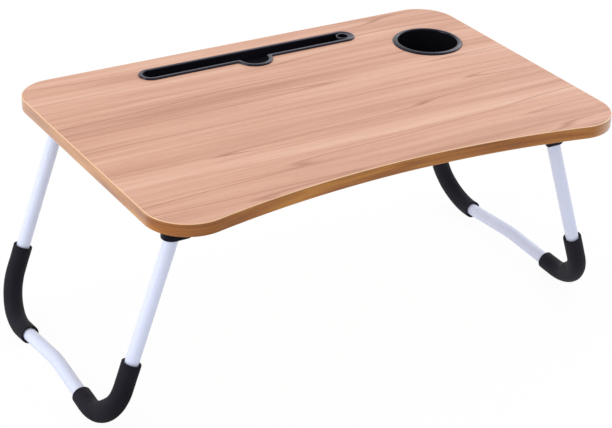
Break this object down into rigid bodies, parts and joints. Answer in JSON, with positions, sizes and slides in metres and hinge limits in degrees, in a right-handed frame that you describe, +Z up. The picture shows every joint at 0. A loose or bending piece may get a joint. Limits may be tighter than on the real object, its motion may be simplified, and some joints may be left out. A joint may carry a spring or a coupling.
{
  "type": "bed tray table",
  "caption": "Low folding bed tray table: woodgrain board with a curved user's edge, tablet slot and cup holder, on two splayed tube legs that fold under it.",
  "frame": {"origin": "on the floor under the middle of the board", "axes": "+X along the board's length, +Y towards the rear edge with the slot, +Z up"},
  "size_m": [0.684, 0.4, 0.2884],
  "materials": {
    "woodgrain_laminate": "matt printed woodgrain",
    "backing_laminate": "matt",
    "fibreboard": "raw",
    "edge_band": "satin woodgrain",
    "black_moulding": "satin",
    "hinge_moulding": "satin",
    "powder_coat": "white powder coat",
    "foam": "matt closed-cell foam",
    "zinc_plated_steel": "zinc plated",
    "black_screws": "black oxide"
  },
  "bodies": {
    "top": {"board_core": "fibreboard", "top_sheet": "woodgrain_laminate", "bottom_sheet": "backing_laminate", "edge_band": "edge_band", "slot_tray": "black_moulding", "cup_holder": "black_moulding", "hinge_bracket_left_front": "hinge_moulding", "hinge_pin_left_front": "zinc_plated_steel", "hinge_bracket_left_rear": "hinge_moulding", "hinge_pin_left_rear": "zinc_plated_steel", "hinge_bracket_right_front": "hinge_moulding", "hinge_pin_right_front": "zinc_plated_steel", "hinge_bracket_right_rear": "hinge_moulding", "hinge_pin_right_rear": "zinc_plated_steel", "pin_clips": "zinc_plated_steel", "bracket_screws": "black_screws"},
    "left_leg": {"leg_plug_left_front": "hinge_moulding", "foam_sleeve_left_front": "foam", "leg_plug_left_rear": "hinge_moulding", "foam_sleeve_left_rear": "foam", "leg_frame_left": "powder_coat", "plug_screws_left": "zinc_plated_steel"},
    "right_leg": {"leg_plug_right_front": "hinge_moulding", "foam_sleeve_right_front": "foam", "leg_plug_right_rear": "hinge_moulding", "foam_sleeve_right_rear": "foam", "leg_frame_right": "powder_coat", "plug_screws_right": "zinc_plated_steel"}
  },
  "joints": [
    {"name": "left_leg_fold", "type": "hinge", "parent": "top", "child": "left_leg", "pos_m": [-0.248, 0.0235, 0.251], "axis": [0, -1, 0], "range_deg": [0, 109]},
    {"name": "right_leg_fold", "type": "hinge", "parent": "top", "child": "right_leg", "pos_m": [0.248, 0.0235, 0.251], "axis": [0, 1, 0], "range_deg": [0, 103]}
  ]
}
